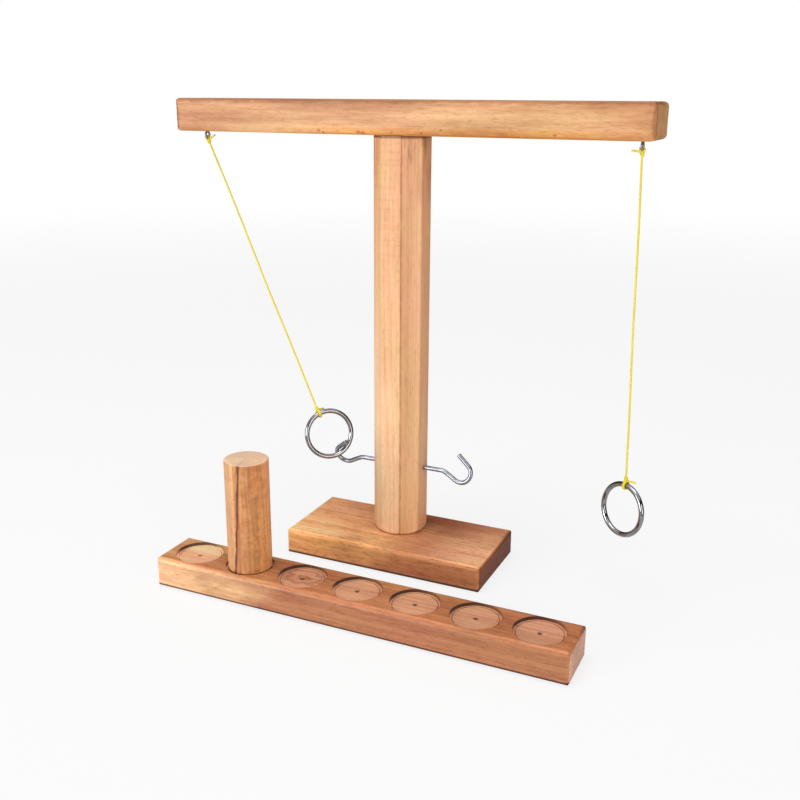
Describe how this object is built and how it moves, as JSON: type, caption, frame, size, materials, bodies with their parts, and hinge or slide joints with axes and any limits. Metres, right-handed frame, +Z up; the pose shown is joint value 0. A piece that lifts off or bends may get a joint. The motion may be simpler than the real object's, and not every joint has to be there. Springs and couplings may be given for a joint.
{
  "type": "ring toss game",
  "caption": "Tabletop hook and ring toss game: a wooden post and crossbeam with hooks, strings and metal rings, and a recessed score rail with a peg.",
  "frame": {"origin": "middle of the base block's underside, on the table", "axes": "+X along the crossbeam to the side of the free ring, +Y away from the players and the score rail, +Z up along the post"},
  "size_m": [0.3422, 0.151, 0.3175],
  "materials": {
    "beech": "sanded, thin satin varnish",
    "rail_beech": "sanded, thin satin varnish",
    "dowel_beech": "bare turned wood",
    "screw_steel": "bright zinc plated",
    "hook_zinc": "bright zinc plated wire",
    "eye_zinc": "bright zinc plated wire",
    "ring_chrome": "polished chrome plate",
    "yellow_string": "twisted nylon string"
  },
  "bodies": {
    "stand": {"base": "beech", "post": "beech", "crossbeam": "beech", "base_screws": "screw_steel", "beam_dowels": "dowel_beech", "left_hook": "hook_zinc", "right_hook": "hook_zinc", "left_screw_eye": "eye_zinc", "right_screw_eye": "eye_zinc", "left_upper_knot": "yellow_string"},
    "right_eye_knot": {"right_upper_knot": "yellow_string"},
    "right_line": {"right_string": "yellow_string"},
    "right_ring_knot": {"right_lower_knot": "yellow_string"},
    "right_toss_ring": {"right_ring": "ring_chrome"},
    "left_line": {"left_string": "yellow_string", "left_lower_knot": "yellow_string"},
    "left_toss_ring": {"left_ring": "ring_chrome"},
    "rail": {"score_rail": "rail_beech"},
    "peg": {"score_peg": "rail_beech"}
  },
  "joints": [
    {"name": "right_swing", "type": "hinge", "parent": "stand", "child": "right_eye_knot", "pos_m": [0.153, 0.007, 0.29025], "axis": [0, 1, 0], "range_deg": [-75, 20]},
    {"name": "right_sway", "type": "hinge", "parent": "right_eye_knot", "child": "right_line", "pos_m": [0.15313, 0.007, 0.2853], "axis": [0.9997, 0, 0.0262], "range_deg": [-45, 45]},
    {"name": "right_ring_twist", "type": "hinge", "parent": "right_line", "child": "right_ring_knot", "pos_m": [0.15839, 0.007, 0.08432], "axis": [-0.0262, 0, 0.9997], "continuous": true},
    {"name": "right_ring_tilt", "type": "hinge", "parent": "right_ring_knot", "child": "right_toss_ring", "pos_m": [0.15855, 0.007, 0.07832], "axis": [-0.8443, 0.5358, 0], "range_deg": [-60, 60]},
    {"name": "left_draw_off", "type": "hinge", "parent": "stand", "child": "left_line", "pos_m": [-0.15338, 0.0068, 0.28578], "axis": [-0.6297, -0.7296, -0.2669], "range_deg": [0, 60]},
    {"name": "left_ring_tilt", "type": "hinge", "parent": "left_line", "child": "left_toss_ring", "pos_m": [-0.0643, -0.00152, 0.09836], "axis": [-0.5793, -0.7154, -0.3907], "range_deg": [0, 45]},
    {"name": "rail_slide", "type": "slide", "parent": "stand", "child": "rail", "axis": [0, -1, 0], "range_m": [0, 0.1]},
    {"name": "peg_lift", "type": "slide", "parent": "rail", "child": "peg", "axis": [0, 0, 1], "range_m": [0, 0.05]}
  ]
}
